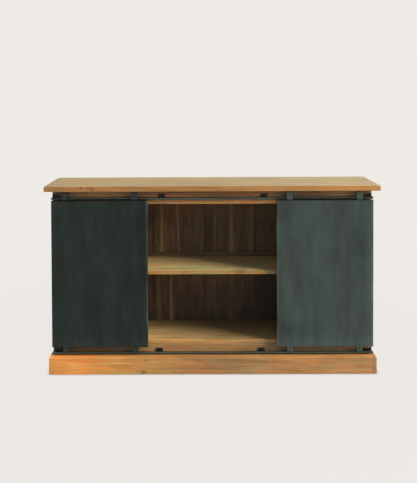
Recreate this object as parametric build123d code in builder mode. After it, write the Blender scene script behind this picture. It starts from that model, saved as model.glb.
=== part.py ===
import os

from build123d import *

os.makedirs("parts", exist_ok=True)

# Sideboard, sizes in millimetres. X is the width, front faces -Y, Z is up from the floor.
width = 1600
depth = 450
height = 900

# Top of boards with a lipping across each end
top_thickness = 25
top_board_count = 4
top_lipping = 20
edge_ease = 1

# Base: a deck with end lippings on a low skirt
deck_thickness = 30
deck_side_inset = 18
deck_lipping = 18
skirt_height = 50
skirt_thickness = 20
back_inset = 3

# Carcass under the top
carcass_side_inset = 30
carcass_setback = 66
panel_thickness = 22
apron_height = 68
lower_rail_height = 52
floor_thickness = 17
lower_bay_height = 317
shelf_thickness = 21
partition_offset = 356
housing_depth = 6
housing_play = 0.2
back_board_width = 267.5
back_seam_shift = -35
back_board_thickness = 10
batten_height = 22
batten_thickness = 12
back_rail_height = 45
back_rail_thickness = 22

# Round bar rails and their angle brackets
rail_radius = 6
rail_setback = 51
rail_overrun = 4
rail_end_round = 4
top_rail_drop = 38
bottom_rail_gap = 3.7
bracket_plate = 4
bracket_width = 32
bracket_leg = 22
bracket_hole_offset = 9
bracket_hole_rise = 15
middle_bracket_offset = 247
top_bracket_shift = 4
bottom_bracket_shift = -10
end_bracket_inset = 18
stop_rise = 13
stop_reach = 15
stop_rail_gap = 0.6
stop_play = 5

# Countersunk screws
screw_radius = 1.75
screw_head_radius = 3.6
screw_length = 20
screw_play = 0.05
strap_screw_length = 12
countersink_angle = 90

# Doors: a folded steel sheet round a wooden core, hung on two straps
door_width = 461
door_depth = 16
door_sheet = 1.5
door_fold = 3
door_top_drop = 8
door_bottom_rise = 34
core_play = 0.3
strap_width = 28
strap_thickness = 4
strap_offset = 167
strap_end_margin = 11
strap_corner = 3
strap_screw_inset = 60

# Grooved rollers on bolts with low nuts
roller_tread = 12
roller_flange = 15
roller_width = 13
roller_rail_gap = 0.3
roller_hub_radius = 6
roller_side_play = 0.3
roller_strap_gap = 1.5
bolt_radius = 3
bolt_bore_play = 0.05
bolt_head_radius = 5
bolt_head_height = 4
bolt_head_ease = 1.2
bolt_end = 0.3
nut_radius = 5.5
nut_height = 2.5

# Planes the pieces share
front = -depth / 2
back = depth / 2 - back_inset
underside = height - top_thickness
deck_top = skirt_height + deck_thickness
deck_half = width / 2 - deck_side_inset
deck_inner = deck_half - deck_lipping
carcass_half = width / 2 - carcass_side_inset
carcass_inner = carcass_half - panel_thickness
carcass_front = front + carcass_setback
panel_back = carcass_front + panel_thickness
boards_front = back - back_board_thickness
batten_front = boards_front - batten_thickness
back_rail_front = boards_front - back_rail_thickness
floor_bottom = deck_top + lower_rail_height
floor_top = floor_bottom + floor_thickness
shelf_bottom = floor_top + lower_bay_height
shelf_top = shelf_bottom + shelf_thickness
apron_bottom = underside - apron_height
back_rail_bottom = underside - back_rail_height
partition_inner = partition_offset - panel_thickness / 2
partition_outer = partition_offset + panel_thickness / 2
housing_y = (carcass_front + boards_front) / 2
housing_z = (shelf_bottom + shelf_top + housing_play) / 2

# Rail lines, bracket places and axle heights
rail_y = front + rail_setback
top_rail_z = underside - top_rail_drop
bottom_rail_z = deck_top + bottom_rail_gap + rail_radius
rail_half = carcass_half + rail_overrun
leg_front = carcass_front - bracket_plate
top_bracket_z = top_rail_z - bracket_plate / 2
bottom_bracket_z = bottom_rail_z - bracket_plate / 2
end_bracket_x = carcass_half - end_bracket_inset
groove_radius = rail_radius + roller_rail_gap
axle_rise = groove_radius + roller_tread
top_axle_z = top_rail_z + axle_rise
bottom_axle_z = bottom_rail_z + axle_rise

# Door planes from front to back, and the bolt that carries a roller
roller_front = rail_y - roller_width / 2
roller_back = rail_y + roller_width / 2
strap_back = roller_front - roller_strap_gap
door_back = strap_back - strap_thickness
door_front = door_back - door_depth
core_front = door_front + door_sheet
hub_front = strap_back + roller_side_play
nut_front = roller_back + roller_side_play
nut_back = nut_front + nut_height
bolt_tip = nut_back + bolt_end
door_top = top_rail_z - door_top_drop
door_bottom = bottom_rail_z + door_bottom_rise
door_height = door_top - door_bottom
door_middle = (door_top + door_bottom) / 2
door_x = carcass_half - door_width / 2
strap_top = top_axle_z + strap_end_margin
strap_bottom = bottom_axle_z - strap_end_margin
strap_middle = (strap_top + strap_bottom) / 2
stop_face = door_x + strap_offset + roller_flange + stop_play

top_bracket_places = [
    (-end_bracket_x, top_bracket_z),
    (top_bracket_shift - middle_bracket_offset, top_bracket_z),
    (top_bracket_shift + middle_bracket_offset, top_bracket_z),
    (end_bracket_x, top_bracket_z),
]
bottom_bracket_places = [
    (bottom_bracket_shift - middle_bracket_offset, bottom_bracket_z),
    (bottom_bracket_shift + middle_bracket_offset, bottom_bracket_z),
]
stop_bracket_places = [(-end_bracket_x, bottom_bracket_z), (end_bracket_x, bottom_bracket_z)]
bracket_screw_places = [
    (x + side * bracket_hole_offset, z + bracket_hole_rise)
    for x, z in top_bracket_places + bottom_bracket_places + stop_bracket_places
    for side in (-1, 1)
]


def keep(piece, name):
    """Name a finished piece and write it out."""
    piece.part.label = name
    export_step(piece.part, f"parts/{name}.step")


def board(name, x_span, y_span, z_span, grain):
    """A sawn board between three pairs of faces, with its long edges eased."""
    with BuildPart() as piece:
        with BuildSketch(Plane.XY.offset(z_span[0])):
            with Locations((sum(x_span) / 2, sum(y_span) / 2)):
                Rectangle(x_span[1] - x_span[0], y_span[1] - y_span[0])
        extrude(amount=z_span[1] - z_span[0])
        chamfer(piece.edges().filter_by(grain), length=edge_ease)
    keep(piece, name)


def drilled_board(name, x_span, z_span):
    """A front rail of the carcass with pilot holes where bracket screws meet it."""
    with BuildPart() as piece:
        with BuildSketch(Plane.XZ.offset(-panel_back)):
            with Locations((sum(x_span) / 2, sum(z_span) / 2)):
                Rectangle(x_span[1] - x_span[0], z_span[1] - z_span[0])
        extrude(amount=panel_thickness)
        chamfer(piece.edges().filter_by(Axis.X), length=edge_ease)
        with BuildSketch(Plane.XZ.offset(-carcass_front)):
            with Locations(*bracket_screw_places):
                Circle(screw_radius + screw_play)
        extrude(amount=-screw_length, mode=Mode.SUBTRACT)
    keep(piece, name)


def side_panel(name, side):
    """An upright end of the carcass, housed for its shelf and drilled for bracket screws."""
    with BuildPart() as piece:
        with BuildSketch(Plane.XY.offset(deck_top)):
            with Locations((side * (carcass_half + carcass_inner) / 2, (carcass_front + back) / 2)):
                Rectangle(panel_thickness, back - carcass_front)
        extrude(amount=underside - deck_top)
        chamfer(piece.edges().filter_by(Axis.Z), length=edge_ease)
        with BuildSketch(Plane.YZ.offset(side * carcass_inner)):
            with Locations((housing_y, housing_z)):
                Rectangle(boards_front - carcass_front, shelf_thickness + housing_play)
        extrude(amount=side * housing_depth, mode=Mode.SUBTRACT)
        with BuildSketch(Plane.XZ.offset(-carcass_front)):
            with Locations(*bracket_screw_places):
                Circle(screw_radius + screw_play)
        extrude(amount=-screw_length, mode=Mode.SUBTRACT)
    keep(piece, name)


def partition(name, side):
    """An upright between two bays, notched round the apron, the batten and the back rail."""
    with BuildPart() as piece:
        with BuildSketch(Plane.YZ.offset(side * partition_offset)):
            with BuildLine():
                Polyline(
                    (carcass_front, floor_top),
                    (carcass_front, apron_bottom),
                    (panel_back, apron_bottom),
                    (panel_back, underside),
                    (back_rail_front, underside),
                    (back_rail_front, back_rail_bottom),
                    (boards_front, back_rail_bottom),
                    (boards_front, shelf_top + batten_height),
                    (batten_front, shelf_top + batten_height),
                    (batten_front, shelf_top),
                    (boards_front, shelf_top),
                    (boards_front, floor_top),
                    close=True,
                )
            make_face()
        extrude(amount=panel_thickness / 2, both=True)
        for face in (partition_inner, partition_outer):
            inward = 1 if face == partition_inner else -1
            with BuildSketch(Plane.YZ.offset(side * face)):
                with Locations((housing_y, housing_z)):
                    Rectangle(boards_front - carcass_front, shelf_thickness + housing_play)
            extrude(amount=side * inward * housing_depth, mode=Mode.SUBTRACT)
    keep(piece, name)


def bar_rail(name, z):
    """A round bar with its ends rounded over."""
    with BuildPart() as piece:
        with BuildSketch(Plane.YZ):
            with Locations((rail_y, z)):
                Circle(rail_radius)
        extrude(amount=rail_half, both=True)
        fillet(piece.edges().filter_by(GeomType.CIRCLE), radius=rail_end_round)
    keep(piece, name)


def angle_brackets(name, places, with_stop):
    """Bent plates: a leg on the carcass, an arm shaped to the back of the rail, and on some a stop."""
    with BuildPart() as piece:
        for x, z in places:
            rail_z = z + bracket_plate / 2
            with BuildSketch(Plane.YZ.offset(x)):
                with BuildLine():
                    Polyline(
                        (carcass_front, z),
                        (carcass_front, z + bracket_leg),
                        (leg_front, z + bracket_leg),
                        (leg_front, z + bracket_plate),
                        (rail_y, z + bracket_plate),
                        (rail_y, z),
                        close=True,
                    )
                make_face()
            extrude(amount=bracket_width / 2, both=True)
            if with_stop:
                side = 1 if x > 0 else -1
                stop_bottom = rail_z + rail_radius + stop_rail_gap
                with BuildSketch(Plane.XY.offset(stop_bottom)):
                    with Locations((side * (stop_face + bracket_plate / 2), leg_front - stop_reach / 2)):
                        Rectangle(bracket_plate, stop_reach)
                    stop_width = abs(x) - bracket_width / 2 - stop_face + bracket_plate
                    with Locations((side * (stop_face + stop_width / 2), leg_front + bracket_plate / 2)):
                        Rectangle(stop_width, bracket_plate)
                extrude(amount=stop_rise)
            with BuildSketch(Plane.YZ.offset(x)):
                with Locations((rail_y, rail_z)):
                    Circle(rail_radius)
            extrude(amount=bracket_width, both=True, mode=Mode.SUBTRACT)
            for hole in (-bracket_hole_offset, bracket_hole_offset):
                with Locations(Plane((x + hole, leg_front, z + bracket_hole_rise), (1, 0, 0), (0, -1, 0))):
                    CounterSinkHole(
                        radius=screw_radius + screw_play,
                        counter_sink_radius=screw_head_radius + screw_play,
                        depth=bracket_plate,
                        counter_sink_angle=countersink_angle,
                    )
    keep(piece, name)


def screws(name, places, face, inward, length):
    """Countersunk wood screws with their heads flush with a face, as one group."""
    with BuildPart() as piece:
        for x, z in places:
            with BuildSketch(Plane.XY.offset(z)):
                with BuildLine():
                    Polyline(
                        (x, face),
                        (x + screw_head_radius, face),
                        (x + screw_radius, face + inward * (screw_head_radius - screw_radius)),
                        (x + screw_radius, face + inward * (length - screw_radius)),
                        (x, face + inward * length),
                        close=True,
                    )
                make_face()
            revolve(axis=Axis((x, 0, z), (0, 1, 0)))
    keep(piece, name)


def door_skin(name, x):
    """A steel sheet folded back on all four edges, open at the back."""
    with BuildPart() as piece:
        with BuildSketch(Plane.XZ.offset(-door_front)):
            with Locations((x, door_middle)):
                Rectangle(door_width, door_height)
        extrude(amount=-door_depth)
        fillet(piece.faces().sort_by(Axis.Y)[0].edges(), radius=door_fold)
        offset(openings=piece.faces().sort_by(Axis.Y)[-1], amount=-door_sheet)
    keep(piece, name)


def door_core(name, x, screw_places):
    """The board inside a folded door, drilled for the strap screws."""
    with BuildPart() as piece:
        with BuildSketch(Plane.XZ.offset(-core_front)):
            with Locations((x, door_middle)):
                Rectangle(
                    door_width - 2 * (door_sheet + core_play),
                    door_height - 2 * (door_sheet + core_play),
                )
        extrude(amount=-(door_back - core_front))
        chamfer(piece.faces().sort_by(Axis.Y)[0].edges(), length=door_fold - door_sheet)
        with BuildSketch(Plane.XZ.offset(-door_back)):
            with Locations(*screw_places):
                Circle(screw_radius + screw_play)
        extrude(amount=strap_screw_length - strap_thickness, mode=Mode.SUBTRACT)
    keep(piece, name)


def strap(name, x, screw_places):
    """A flat bar on the back of a door, with a bolt hole near each end and countersunk screw holes."""
    with BuildPart() as piece:
        with BuildSketch(Plane.XZ.offset(-door_back)):
            with Locations((x, strap_middle)):
                RectangleRounded(strap_width, strap_top - strap_bottom, strap_corner)
            with Locations((x, top_axle_z), (x, bottom_axle_z)):
                Circle(bolt_radius + bolt_bore_play, mode=Mode.SUBTRACT)
        extrude(amount=-strap_thickness)
        for hole_x, hole_z in screw_places:
            with Locations(Plane((hole_x, strap_back, hole_z), (-1, 0, 0), (0, 1, 0))):
                CounterSinkHole(
                    radius=screw_radius + screw_play,
                    counter_sink_radius=screw_head_radius + screw_play,
                    depth=strap_thickness,
                    counter_sink_angle=countersink_angle,
                )
    keep(piece, name)


def axle_bolts(name, places):
    """Bolts that carry the rollers, with round heads on the front of the straps, as one group."""
    with BuildPart() as piece:
        for x, z in places:
            with BuildSketch(Plane.XY.offset(z)):
                with BuildLine():
                    Polyline(
                        (x, door_back - bolt_head_height),
                        (x + bolt_head_radius - bolt_head_ease, door_back - bolt_head_height),
                        (x + bolt_head_radius, door_back - bolt_head_height + bolt_head_ease),
                        (x + bolt_head_radius, door_back),
                        (x + bolt_radius, door_back),
                        (x + bolt_radius, bolt_tip),
                        (x, bolt_tip),
                        close=True,
                    )
                make_face()
            revolve(axis=Axis((x, 0, z), (0, 1, 0)))
    keep(piece, name)


def axle_nuts(name, places):
    """Low hexagon nuts behind the rollers, as one group."""
    with BuildPart() as piece:
        with BuildSketch(Plane.XZ.offset(-nut_front)):
            with Locations(*places):
                RegularPolygon(nut_radius, 6)
                Circle(bolt_radius, mode=Mode.SUBTRACT)
        extrude(amount=-nut_height)
    keep(piece, name)


def roller(name, x, z):
    """A steel roller with a round groove for the rail and a short hub towards the strap."""
    groove_half = (groove_radius**2 - (axle_rise - roller_flange) ** 2) ** 0.5
    with BuildPart() as piece:
        with BuildSketch(Plane.XY.offset(z)):
            with BuildLine():
                Polyline(
                    (x + roller_flange, rail_y - groove_half),
                    (x + roller_flange, roller_front),
                    (x + roller_hub_radius, roller_front),
                    (x + roller_hub_radius, hub_front),
                    (x + bolt_radius + bolt_bore_play, hub_front),
                    (x + bolt_radius + bolt_bore_play, roller_back),
                    (x + roller_flange, roller_back),
                    (x + roller_flange, rail_y + groove_half),
                )
                ThreePointArc(
                    (x + roller_flange, rail_y + groove_half),
                    (x + roller_tread, rail_y),
                    (x + roller_flange, rail_y - groove_half),
                )
            make_face()
        revolve(axis=Axis((x, 0, z), (0, 1, 0)))
    keep(piece, name)


# Base on the floor: skirt boards, then the deck and its lippings
board("skirt_front", (-deck_inner, deck_inner), (front, front + skirt_thickness), (0, skirt_height), Axis.X)
board("skirt_back", (-deck_inner, deck_inner), (back - skirt_thickness, back), (0, skirt_height), Axis.X)
board("base_deck", (-deck_inner, deck_inner), (front, back), (skirt_height, deck_top), Axis.X)
for side_name, side in (("left", -1), ("right", 1)):
    end_span = sorted((side * deck_inner, side * deck_half))
    board(f"skirt_{side_name}", end_span, (front, back), (0, skirt_height), Axis.Y)
    board(f"base_lipping_{side_name}", end_span, (front, back), (skirt_height, deck_top), Axis.Y)

# Carcass: ends, front rails, floor, partitions, shelves and back
for side_name, side in (("left", -1), ("right", 1)):
    side_panel(f"side_panel_{side_name}", side)
    partition(f"partition_{side_name}", side)
drilled_board("lower_front_rail", (-carcass_inner, carcass_inner), (deck_top, floor_bottom))
drilled_board("front_apron", (-carcass_inner, carcass_inner), (apron_bottom, underside))
board("floor_back_rail", (-carcass_inner, carcass_inner), (back_rail_front, boards_front),
      (deck_top, floor_bottom), Axis.X)
board("top_back_rail", (-carcass_inner, carcass_inner), (back_rail_front, boards_front),
      (back_rail_bottom, underside), Axis.X)
board("floor_board", (-carcass_inner, carcass_inner), (carcass_front, boards_front),
      (floor_bottom, floor_top), Axis.X)
shelf_outer = carcass_inner + housing_depth - housing_play
shelf_inner = partition_outer - housing_depth + housing_play
centre_half = partition_inner + housing_depth - housing_play
for shelf_name, shelf_span in (
    ("left", (-shelf_outer, -shelf_inner)),
    ("centre", (-centre_half, centre_half)),
    ("right", (shelf_inner, shelf_outer)),
):
    board(f"shelf_{shelf_name}", shelf_span, (carcass_front, boards_front),
          (shelf_bottom, shelf_top), Axis.X)
board("shelf_back_batten", (-carcass_inner, carcass_inner), (batten_front, boards_front),
      (shelf_top, shelf_top + batten_height), Axis.X)
whole_left = int((carcass_inner + back_seam_shift) // back_board_width)
whole_right = int((carcass_inner - back_seam_shift) // back_board_width)
back_seams = [back_seam_shift + step * back_board_width for step in range(-whole_left, whole_right + 1)]
back_edges = [-carcass_inner, *back_seams, carcass_inner]
for number, edges in enumerate(zip(back_edges, back_edges[1:]), start=1):
    board(f"back_board_{number}", edges, (boards_front, back), (deck_top, underside), Axis.Z)

# Top: boards laid lengthwise between the end lippings
top_inner = width / 2 - top_lipping
top_board_width = depth / top_board_count
for index in range(top_board_count):
    near_edge = front + index * top_board_width
    board(f"top_board_{index + 1}", (-top_inner, top_inner), (near_edge, near_edge + top_board_width),
          (underside, height), Axis.X)
for side_name, side in (("left", -1), ("right", 1)):
    board(f"top_lipping_{side_name}", sorted((side * top_inner, side * width / 2)), (front, depth / 2),
          (underside, height), Axis.Y)

# Rails on their brackets
bar_rail("top_rail", top_rail_z)
bar_rail("bottom_rail", bottom_rail_z)
angle_brackets("rail_brackets", top_bracket_places + bottom_bracket_places, False)
angle_brackets("stop_brackets", stop_bracket_places, True)
screws("bracket_screws", bracket_screw_places, leg_front, 1, screw_length)

# Doors with their straps, bolts, nuts and rollers
for side_name, side in (("left", -1), ("right", 1)):
    middle = side * door_x
    strap_places = {"outer": middle + side * strap_offset, "inner": middle - side * strap_offset}
    screw_heights = (door_bottom + strap_screw_inset, door_middle, door_top - strap_screw_inset)
    screw_places = {place: [(x, z) for z in screw_heights] for place, x in strap_places.items()}
    all_screw_places = screw_places["outer"] + screw_places["inner"]
    axle_places = [(x, z) for x in strap_places.values() for z in (top_axle_z, bottom_axle_z)]
    door_skin(f"{side_name}_door_skin", middle)
    door_core(f"{side_name}_door_core", middle, all_screw_places)
    for place, x in strap_places.items():
        strap(f"{side_name}_strap_{place}", x, screw_places[place])
        roller(f"{side_name}_roller_{place}_top", x, top_axle_z)
        roller(f"{side_name}_roller_{place}_bottom", x, bottom_axle_z)
    screws(f"{side_name}_strap_screws", all_screw_places, strap_back, -1, strap_screw_length)
    axle_bolts(f"{side_name}_axle_bolts", axle_places)
    axle_nuts(f"{side_name}_axle_nuts", axle_places)
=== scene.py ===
import math

import bpy
import numpy as np
from mathutils import Matrix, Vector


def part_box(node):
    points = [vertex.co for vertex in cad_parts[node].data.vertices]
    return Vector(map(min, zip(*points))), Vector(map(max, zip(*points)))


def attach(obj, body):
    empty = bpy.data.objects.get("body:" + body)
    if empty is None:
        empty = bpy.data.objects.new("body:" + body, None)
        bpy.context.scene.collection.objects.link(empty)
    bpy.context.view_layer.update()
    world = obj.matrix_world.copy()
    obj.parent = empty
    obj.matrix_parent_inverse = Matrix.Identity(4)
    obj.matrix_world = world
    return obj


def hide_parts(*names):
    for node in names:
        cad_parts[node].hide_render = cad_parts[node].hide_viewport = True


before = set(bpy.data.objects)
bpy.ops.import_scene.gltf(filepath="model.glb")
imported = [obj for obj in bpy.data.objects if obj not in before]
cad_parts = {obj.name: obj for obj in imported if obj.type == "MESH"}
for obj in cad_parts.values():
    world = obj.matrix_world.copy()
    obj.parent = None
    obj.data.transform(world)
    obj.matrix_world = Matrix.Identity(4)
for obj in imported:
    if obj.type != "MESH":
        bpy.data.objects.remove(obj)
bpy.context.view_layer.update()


# Skirt of the base: four plain boards on the floor, of the same reclaimed hardwood as the rest.
# They are sawn, planed by hand and oiled, so faces ripple a little and long edges are worn round.
# The end boards run the full depth and show their end grain at the front.
def put(tree, kind, inputs=None, **settings):
    """Adds a node with its own settings; inputs name its sockets and give values or links."""
    made = tree.nodes.new(kind)
    for key, value in settings.items():
        setattr(made, key, value)
    for key, value in (inputs or {}).items():
        if isinstance(value, bpy.types.NodeSocket):
            tree.links.new(value, made.inputs[key])
        else:
            made.inputs[key].default_value = value
    return made


def graded(tree, factor, stops):
    """A colour ramp read at factor; stops are pairs of a place from 0 to 1 and a linear colour."""
    made = put(tree, "ShaderNodeValToRGB", {"Fac": factor})
    ramp = made.color_ramp
    while len(ramp.elements) < len(stops):
        ramp.elements.new(0.5)
    for element, (place, colour) in zip(ramp.elements, stops):
        element.position = place
        element.color = (*colour, 1.0)
    return made.outputs["Color"]


def sums(tree, operation, *values):
    """A Math node on two or three values or links."""
    return put(tree, "ShaderNodeMath", dict(enumerate(values)), operation=operation).outputs[0]


def mixed(tree, factor, first, second, blend="MIX"):
    """Colour first turned towards colour second by factor."""
    made = put(tree, "ShaderNodeMix", {0: factor, 6: first, 7: second}, data_type="RGBA", blend_type=blend)
    return made.outputs[2]


def vectors(tree, operation, *values):
    """A Vector Math node on vectors or links; the length of a vector is a number."""
    made = put(tree, "ShaderNodeVectorMath", dict(enumerate(values)), operation=operation)
    return made.outputs["Value" if operation == "LENGTH" else 0]


def stretched_noise(tree, place, stretch, detail=3.0, rough=0.5, output="Fac"):
    """Noise at a place whose three coordinates are first multiplied by stretch."""
    moved = vectors(tree, "MULTIPLY", place, stretch)
    return put(tree, "ShaderNodeTexNoise",
               {"Vector": moved, "Scale": 1.0, "Detail": detail, "Roughness": rough}).outputs[output]


def solid_wood(name, pale, middle, deep, gloss=0.46, spread=1.0, hue=1.0, hair=1.0, fleck=1.0,
               sap=None, eyes=()):
    """Oiled wood as a solid: growth rings round a pith along the grain, drawn fibres, pores and knots.

    The piece's grain attribute is the place in the log, its tone attribute how dark the board is, its
    tint attribute a colour that it is multiplied by, and its edge attribute how near a worn edge is.
    On some pieces tone and tint also hold painted light and shade.
    A small spread gives the figure more contrast, hair is the share of its fine lines, fleck is how
    short its streaks are, and hue is how much its colour drifts. Eyes are single knots, each a place,
    a size and a strength.
    """
    material = bpy.data.materials.new(name)
    material.use_nodes = True
    tree = material.node_tree
    shader = tree.nodes["Principled BSDF"]
    log = put(tree, "ShaderNodeAttribute", attribute_name="grain").outputs["Vector"]
    tone = put(tree, "ShaderNodeAttribute", attribute_name="tone").outputs["Fac"]
    edge = put(tree, "ShaderNodeAttribute", attribute_name="edge").outputs["Fac"]
    tint = put(tree, "ShaderNodeAttribute", attribute_name="tint").outputs["Vector"]
    sway = stretched_noise(tree, log, (1.6, 9.0, 9.0), 2.0, output="Color")
    sway = vectors(tree, "SUBTRACT", sway, (0.5, 0.5, 0.5))
    bent = vectors(tree, "MULTIPLY_ADD", sway, (0.0, 0.05, 0.05), log)
    rings = put(tree, "ShaderNodeTexWave",
                {"Vector": bent, "Scale": 34.0, "Distortion": 1.6, "Detail": 3.0, "Detail Scale": 2.0,
                 "Detail Roughness": 0.6},
                wave_type="RINGS", rings_direction="X", wave_profile="SAW").outputs["Fac"]
    fibre = stretched_noise(tree, bent, (7.0 * fleck, 420.0, 420.0), 4.0, 0.6)
    streak = stretched_noise(tree, bent, (1.3 * fleck, 46.0, 46.0), 3.0, 0.55)
    fine = stretched_noise(tree, bent, (3.0 * fleck, 105.0, 105.0), 3.0, 0.6)
    cloud = stretched_noise(tree, log, (2.2 * fleck, 6.2 * fleck, 6.2 * fleck), 2.0)
    pores = graded(tree, stretched_noise(tree, bent, (30.0, 1100.0, 1100.0), 1.0),
                   [(0.60, (0.0, 0.0, 0.0)), (0.74, (1.0, 1.0, 1.0))])
    figure = -0.375 - 0.525 * hair
    for layer, share in ((rings, 0.26 * hair), (fibre, 0.34 * hair), (streak, 0.80), (fine, 0.45 * hair),
                         (cloud, 0.34), (tone, 0.60)):
        figure = sums(tree, "MULTIPLY_ADD", layer, share, figure)
    mid = 0.46
    colour = graded(tree, figure, [(mid - mid * spread, pale), (mid, middle), (mid + mid * spread, deep)])
    drift = stretched_noise(tree, bent, (3.0 * fleck, 50.0, 50.0), 2.0)
    drift = graded(tree, drift, [(0.34, (1.16, 0.91, 0.76)), (0.66, (0.88, 1.07, 1.15))])
    rubbed = sums(tree, "MULTIPLY", edge, sums(tree, "MULTIPLY", streak, 0.22))
    colour = mixed(tree, rubbed, mixed(tree, hue, colour, drift, "MULTIPLY"), (*pale, 1.0))
    # The tint is the board's own colour and, on some pieces, painted light and shade.
    colour = mixed(tree, 1.0, colour, tint, "MULTIPLY")
    knot = put(tree, "ShaderNodeTexVoronoi",
               {"Vector": vectors(tree, "MULTIPLY", bent, (1.0, 1.9, 1.9)), "Scale": 3.1, "Randomness": 1.0},
               distance="EUCLIDEAN").outputs["Distance"]
    knot = graded(tree, knot, [(0.035, (1.0, 1.0, 1.0)), (0.085, (0.0, 0.0, 0.0))])
    for place, size, strength in eyes:
        near = vectors(tree, "SUBTRACT", put(tree, "ShaderNodeTexCoord").outputs["Object"], place)
        near = vectors(tree, "LENGTH", vectors(tree, "MULTIPLY", near, (0.7, 0.4, 1.0)))
        near = sums(tree, "MULTIPLY_ADD", sums(tree, "SUBTRACT", fine, 0.5), 0.012, near)
        near = put(tree, "ShaderNodeMapRange", {0: near, 1: size, 2: 0.3 * size}, clamp=True).outputs[0]
        knot = sums(tree, "MAXIMUM", knot, sums(tree, "MULTIPLY", near, strength))
    colour = mixed(tree, sums(tree, "MULTIPLY", knot, 0.75), colour, (*[0.35 * c for c in deep], 1.0))
    colour = mixed(tree, sums(tree, "MULTIPLY", pores, 0.45), colour, (*[0.45 * c for c in deep], 1.0))
    if sap:
        light = put(tree, "ShaderNodeAttribute", attribute_name="sap").outputs["Fac"]
        light = sums(tree, "MULTIPLY", light, sums(tree, "ADD", 0.55, sums(tree, "MULTIPLY", fibre, 0.8)))
        colour = mixed(tree, light, colour, (*sap, 1.0))
    tree.links.new(colour, shader.inputs["Base Color"])
    rough = sums(tree, "ADD", gloss - 0.10, sums(tree, "MULTIPLY", fibre, 0.22))
    tree.links.new(sums(tree, "ADD", rough, sums(tree, "MULTIPLY", pores, 0.12)), shader.inputs["Roughness"])
    relief = sums(tree, "SUBTRACT", sums(tree, "ADD", sums(tree, "MULTIPLY", fibre, 0.7),
                                         sums(tree, "MULTIPLY", rings, 0.25)), pores)
    bump = put(tree, "ShaderNodeBump", {"Height": relief, "Strength": 0.35, "Distance": 0.0006})
    tree.links.new(bump.outputs["Normal"], shader.inputs["Normal"])
    return material


def ripple(places, wavelength, rng, count=7):
    """A smooth random field from -1 to 1: the mean of sine waves with random directions and phases."""
    waves = rng.normal(size=(count, places.shape[-1])) / wavelength
    phases = rng.uniform(0.0, 2.0 * np.pi, count)
    return np.clip(np.sin(places @ waves.T * 2.0 + phases).mean(axis=-1) * 1.6, -1.0, 1.0)


def rounded_outline(half_wide, half_thick, radius, step):
    """A rectangle with round corners: points, outward normals and how much of an edge each one is.

    Each quarter is an arc of five points about its corner's centre, then a straight run with a
    guard point near either end, spaced about one step.
    """
    rub_width = 0.007
    points, normals, edges = [], [], []
    signs = [(1, 1), (-1, 1), (-1, -1), (1, -1)]
    for quarter, (sign_a, sign_b) in enumerate(signs):
        turn = np.pi / 2 * (quarter + np.linspace(0.0, 1.0, 5))
        out = np.stack([np.cos(turn), np.sin(turn)], axis=1)
        centre = np.array([sign_a * (half_wide - radius), sign_b * (half_thick - radius)])
        arc = centre + radius * out
        run = 2 * ((half_wide if quarter % 2 == 0 else half_thick) - radius)
        guard = min(1.5 * radius, run / 3)
        inner = np.linspace(guard, run - guard, max(2, int(run / step) + 1))
        line = arc[-1] + inner[:, None] * np.array([-out[-1][1], out[-1][0]])
        near = np.clip(1.0 - np.minimum(inner, run - inner) / rub_width, 0.0, 1.0)
        points += [arc, line]
        normals += [out, np.repeat(out[-1:], len(inner), axis=0)]
        edges += [np.ones(5), near]
    return np.concatenate(points), np.concatenate(normals), np.concatenate(edges)


def ring_faces(rings, count, first=0):
    """Quads between closed rings of count points each, numbered from first."""
    row, column = np.meshgrid(np.arange(rings - 1), np.arange(count), indexing="ij")
    here = first + row * count + column
    beside = first + row * count + (column + 1) % count
    return np.stack([here, beside, beside + count, here + count], axis=-1).reshape(-1, 4)


def fan_faces(pole, ring, count):
    """Triangles from a pole to a closed ring that starts at number ring."""
    column = np.arange(count)
    return np.stack([np.full(count, pole), ring + (column + 1) % count, ring + column], axis=-1)


def make_piece(name, points, faces, material, smooth=35.0, fields=None):
    """A mesh object at the origin from points and face lists, turned outwards by its signed volume."""
    corners = np.concatenate([np.stack([f[:, 0], f[:, i], f[:, i + 1]], axis=-1)
                              for f in faces for i in range(1, f.shape[1] - 1)])
    a, b, c = points[corners[:, 0]], points[corners[:, 1]], points[corners[:, 2]]
    inside_out = np.einsum("ij,ij->i", a, np.cross(b, c)).sum() < 0
    lists = [face for f in faces for face in (f[:, ::-1] if inside_out else f).tolist()]
    mesh = bpy.data.meshes.new(name)
    mesh.from_pydata(points.tolist(), [], lists)
    for field, values in (fields or {}).items():
        kind, key = ("FLOAT_VECTOR", "vector") if values.ndim == 2 else ("FLOAT", "value")
        mesh.attributes.new(field, kind, "POINT").data.foreach_set(key, values.astype(np.float32).ravel())
    mesh.shade_smooth()
    mesh.set_sharp_from_angle(angle=math.radians(smooth))
    mesh.materials.append(material)
    piece = bpy.data.objects.new(name, mesh)
    bpy.context.scene.collection.objects.link(piece)
    return piece


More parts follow.
